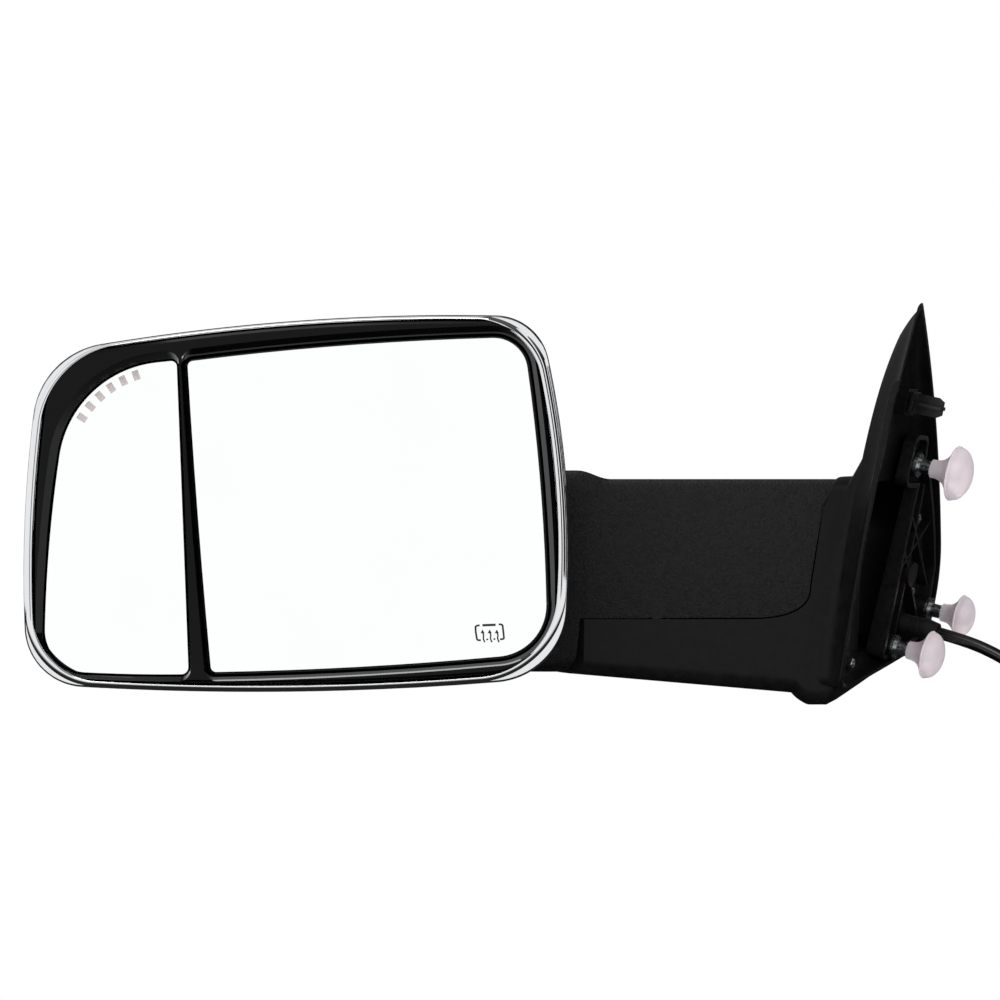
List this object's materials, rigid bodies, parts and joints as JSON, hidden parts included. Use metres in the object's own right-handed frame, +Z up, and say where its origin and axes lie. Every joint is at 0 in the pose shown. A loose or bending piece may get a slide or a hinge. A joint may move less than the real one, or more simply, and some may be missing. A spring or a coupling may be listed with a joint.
{
  "type": "car side mirror",
  "caption": "Folding, flip-up side mirror for a towing vehicle: wide head with main and spotter glass, chrome back, arm, and a door base with studs and cable.",
  "frame": {"origin": "middle of the three door studs, on the door face", "axes": "+X points inboard towards the car, +Y points forward along the car, +Z points up; the glass faces -Y"},
  "size_m": [0.6786, 0.1867, 0.4636],
  "materials": {
    "chrome": "polished",
    "bezel_black": "gloss",
    "black_plastic": "fine grain",
    "mirror_glass": "polished",
    "heater_film": "matt",
    "carrier_plastic": "matt",
    "zinc": "zinc plated",
    "steel": "satin",
    "spring_steel": "oiled",
    "nylon": "matt",
    "cap_plastic": "translucent",
    "rubber_black": "matt",
    "cable_jacket": "gloss",
    "connector_black": "matt",
    "terminal_brass": "bright",
    "board_green": "satin",
    "seal_orange": "satin"
  },
  "bodies": {
    "base": {"base_housing": "black_plastic", "mount_bracket": "carrier_plastic", "bracket_screws": "zinc", "locating_pin": "carrier_plastic", "fold_post": "steel", "fold_springs": "spring_steel", "fold_nut": "zinc", "stud_upper": "zinc", "stud_cap_upper": "cap_plastic", "stud_lower_front": "zinc", "stud_cap_lower_front": "cap_plastic", "stud_lower_rear": "zinc", "stud_cap_lower_rear": "cap_plastic", "cable_boot": "rubber_black", "cable": "cable_jacket", "connector_housing": "connector_black", "connector_latch": "connector_black", "connector_terminals": "terminal_brass", "connector_seal": "seal_orange"},
    "arm": {"arm_housing": "black_plastic", "fold_bushing": "nylon", "fold_thrust_ring": "nylon", "flip_post": "steel", "flip_springs": "spring_steel", "flip_nut": "zinc"},
    "head": {"chrome_cap": "chrome", "bezel": "bezel_black", "head_housing": "black_plastic", "drive_unit": "carrier_plastic", "jack_screws": "nylon", "drive_plate": "carrier_plastic", "drive_screws": "zinc", "spotter_pedestal": "carrier_plastic", "flip_bushing": "nylon"},
    "main_ring": {"main_pivot_ring": "nylon"},
    "main_glass_unit": {"main_glass": "mirror_glass", "heater_pad": "heater_film", "main_backing": "carrier_plastic"},
    "spotter_ring": {"spotter_pivot_ring": "nylon"},
    "spotter_unit": {"spotter_glass": "mirror_glass", "spotter_backing": "carrier_plastic", "signal_board": "board_green"}
  },
  "joints": [
    {"name": "fold", "type": "hinge", "parent": "base", "child": "arm", "pos_m": [-0.1752, -0.025, -0.0274], "axis": [0, 0, 1], "range_deg": [0, 70]},
    {"name": "flip", "type": "hinge", "parent": "arm", "child": "head", "pos_m": [-0.306, -0.071, 0.0105], "axis": [0, -1, 0], "range_deg": [-90, 0]},
    {"name": "main_pan", "type": "hinge", "parent": "head", "child": "main_ring", "pos_m": [-0.3546, -0.112, 0.0453], "axis": [0, 0, 1], "range_deg": [-6, 6]},
    {"name": "main_tilt", "type": "hinge", "parent": "main_ring", "child": "main_glass_unit", "pos_m": [-0.3546, -0.112, 0.0453], "axis": [1, 0, 0], "range_deg": [-6, 6]},
    {"name": "spotter_pan", "type": "hinge", "parent": "head", "child": "spotter_ring", "pos_m": [-0.51002, -0.109, 0.03617], "axis": [0, 0, 1], "range_deg": [-5, 5]},
    {"name": "spotter_tilt", "type": "hinge", "parent": "spotter_ring", "child": "spotter_unit", "pos_m": [-0.51002, -0.109, 0.03617], "axis": [1, 0, 0], "range_deg": [-5, 5]}
  ]
}
